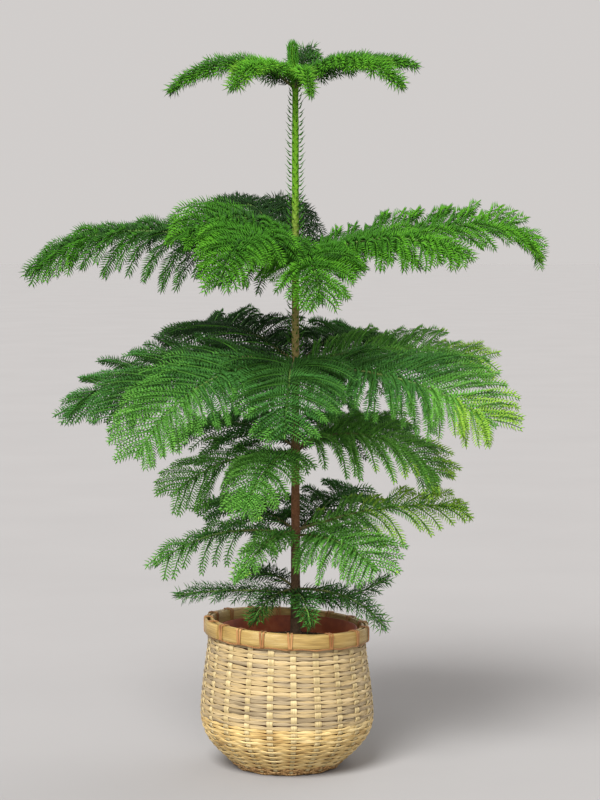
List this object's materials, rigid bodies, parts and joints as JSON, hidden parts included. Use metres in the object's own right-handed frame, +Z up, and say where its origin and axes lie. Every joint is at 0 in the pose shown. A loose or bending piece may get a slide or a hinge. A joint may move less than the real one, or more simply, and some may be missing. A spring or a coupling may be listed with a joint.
{
  "type": "potted tiered conifer",
  "caption": "Young conifer with whorls of drooping feathery boughs on a straight stem, in a nursery pot of soil inside a round woven bamboo basket.",
  "frame": {"origin": "centre of the basket's flat underside", "axes": "+Z up along the stem; -Y is the front that the picture shows, with +X to its right"},
  "size_m": [0.6513, 0.4913, 0.9013],
  "materials": {
    "bark": "rough brown bark, green on young growth",
    "needles": "satin green needles",
    "bamboo_weave": "dry split bamboo, satin",
    "bamboo_rim": "honey bamboo bound with rattan, satin",
    "terracotta_pot": "matte",
    "soil": "moist and crumbly"
  },
  "bodies": {
    "root": {"basket_rim": "bamboo_rim", "basket_wall": "bamboo_weave", "bough_second_1": "bark", "bough_second_2": "bark", "bough_second_4": "bark", "bough_second_5": "bark", "bough_second_7": "bark", "bough_third_1": "bark", "bough_third_2": "bark", "bough_third_3": "bark", "bough_third_4": "bark", "bough_third_5": "bark", "bough_third_6": "bark", "bough_third_7": "bark", "bough_third_8": "bark", "foliage_fifth_1": "needles", "foliage_fifth_2": "needles", "foliage_fifth_3": "needles", "foliage_fifth_4": "needles", "foliage_fifth_5": "needles", "foliage_fifth_6": "needles", "foliage_fourth_1": "needles", "foliage_fourth_2": "needles", "foliage_fourth_3": "needles", "foliage_fourth_4": "needles", "foliage_fourth_5": "needles", "foliage_lowest_1": "needles", "foliage_lowest_2": "needles", "foliage_lowest_3": "needles", "foliage_lowest_4": "needles", "foliage_lowest_5": "needles", "foliage_lowest_6": "needles", "foliage_second_1": "needles", "foliage_second_2": "needles", "foliage_second_3": "needles", "foliage_second_4": "needles", "foliage_second_5": "needles", "foliage_second_6": "needles", "foliage_second_7": "needles", "foliage_second_8": "needles", "foliage_third_1": "needles", "foliage_third_2": "needles", "foliage_third_3": "needles", "foliage_third_4": "needles", "foliage_third_5": "needles", "foliage_third_6": "needles", "foliage_third_7": "needles", "foliage_third_8": "needles", "foliage_top_1": "needles", "foliage_top_2": "needles", "foliage_top_3": "needles", "foliage_top_4": "needles", "foliage_top_5": "needles", "foliage_top_6": "needles", "inner_pot": "terracotta_pot", "soil": "soil", "trunk": "bark"}
  },
  "joints": []
}
